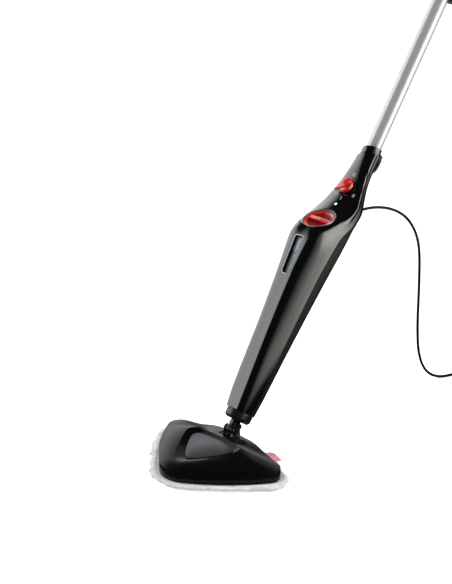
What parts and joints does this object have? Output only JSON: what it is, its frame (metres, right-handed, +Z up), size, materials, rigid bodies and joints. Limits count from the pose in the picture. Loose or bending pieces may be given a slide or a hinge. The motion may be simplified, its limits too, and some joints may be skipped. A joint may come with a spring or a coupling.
{
  "type": "steam mop",
  "caption": "Upright steam mop with a triangular head on a two-axis neck, a slim body with tank cap, dial and window, a metal pole, a grip, cord hooks and a mains cord.",
  "frame": {"origin": "On the floor under the neck's pitch axis, on the pad's underside at the sole mount", "axes": "+Z up, -Y towards the head's tip (the front), +X to the mop's left"},
  "size_m": [0.323, 0.8466, 0.9765],
  "materials": {
    "black_gloss_shell": "glossy moulded ABS",
    "dark_matte_shell": "fine matt texture",
    "panel_grey": "satin",
    "sole_grey": "matt",
    "hook_tape": "nylon hook tape",
    "pad_cloth": "looped microfibre",
    "tab_cloth": "woven tape",
    "steel": "zinc plated",
    "brass_fitting": "turned",
    "soft_rubber": "matt",
    "red_plastic": "glossy",
    "stopper_plastic": "matt",
    "window_clear": "smoked clear plastic",
    "bezel_grey": "satin",
    "tank_clear": "translucent",
    "boiler_metal": "cast",
    "pump_plastic": "matt",
    "tube_plastic": "natural silicone",
    "board": "solder mask",
    "lamp_lens": "clear, lit",
    "pole_metal": "polished, anodised",
    "pin_metal": "nickel plated"
  },
  "bodies": {
    "main_unit": {"neck_stem": "dark_matte_shell", "base_collar": "dark_matte_shell", "front_shell": "black_gloss_shell", "rear_cover": "dark_matte_shell", "control_panel": "black_gloss_shell", "window_bezel": "bezel_grey", "tank_window": "window_clear", "water_tank": "tank_clear", "water_pump": "pump_plastic", "steam_boiler": "boiler_metal", "tank_outlet": "tube_plastic", "pump_outlet": "tube_plastic", "circuit_board": "board", "steam_switch": "pump_plastic", "indicator_lamp": "lamp_lens", "filler_ring": "bezel_grey", "body_screws": "steel", "lower_cord_hook": "dark_matte_shell", "cord_gland": "soft_rubber", "top_collar": "dark_matte_shell", "pole_spigot": "dark_matte_shell", "pole": "pole_metal", "grip_ferrule": "dark_matte_shell", "grip_core": "dark_matte_shell", "grip_sleeve": "soft_rubber", "grip_cap": "dark_matte_shell", "power_cord": "soft_rubber", "cord_coil": "soft_rubber", "cord_tie": "soft_rubber", "plug_body": "soft_rubber", "plug_pins": "pin_metal"},
    "neck_yoke": {"neck_yoke": "dark_matte_shell", "roll_pin": "steel", "hose_elbow": "dark_matte_shell", "steam_hose": "soft_rubber"},
    "head": {"sole_plate": "sole_grey", "head_skirt": "dark_matte_shell", "head_cover": "black_gloss_shell", "head_panel": "panel_grey", "neck_tower": "dark_matte_shell", "steam_inlet": "brass_fitting", "head_screws": "steel", "hook_strips": "hook_tape", "floor_pad": "pad_cloth", "pad_tab": "tab_cloth", "pitch_pin": "steel"},
    "steam_dial": {"steam_dial": "red_plastic", "dial_spindle": "steel"},
    "tank_stopper": {"cap_stopper": "stopper_plastic", "cap_seal": "soft_rubber"},
    "tank_cap": {"cap_knob": "red_plastic"},
    "upper_cord_hook": {"upper_cord_hook": "dark_matte_shell"}
  },
  "joints": [
    {"name": "neck_roll", "type": "hinge", "parent": "main_unit", "child": "neck_yoke", "pos_m": [0, 0.00747, 0.06372], "axis": [0, -0.8018, 0.5976], "range_deg": [-30, 30]},
    {"name": "neck_pitch", "type": "hinge", "parent": "neck_yoke", "child": "head", "pos_m": [0, 0, 0.0537], "axis": [1, 0, 0], "range_deg": [-36.7, 33], "deforming": ["steam_hose"]},
    {"name": "dial_turn", "type": "hinge", "parent": "main_unit", "child": "steam_dial", "pos_m": [0, 0.29091, 0.45486], "axis": [0, -0.7108, 0.7034], "range_deg": [-30, 120]},
    {"name": "cap_lift", "type": "slide", "parent": "main_unit", "child": "tank_stopper", "axis": [0, -0.23, 0.9732], "range_m": [0, 0.04]},
    {"name": "cap_turn", "type": "hinge", "parent": "tank_stopper", "child": "tank_cap", "pos_m": [0, 0.21724, 0.41125], "axis": [0, -0.23, 0.9732], "range_deg": [-90, 0]},
    {"name": "hook_turn", "type": "hinge", "parent": "main_unit", "child": "upper_cord_hook", "pos_m": [0, 0.53393, 0.77649], "axis": [0, 0.5577, 0.83], "range_deg": [0, 180]}
  ]
}
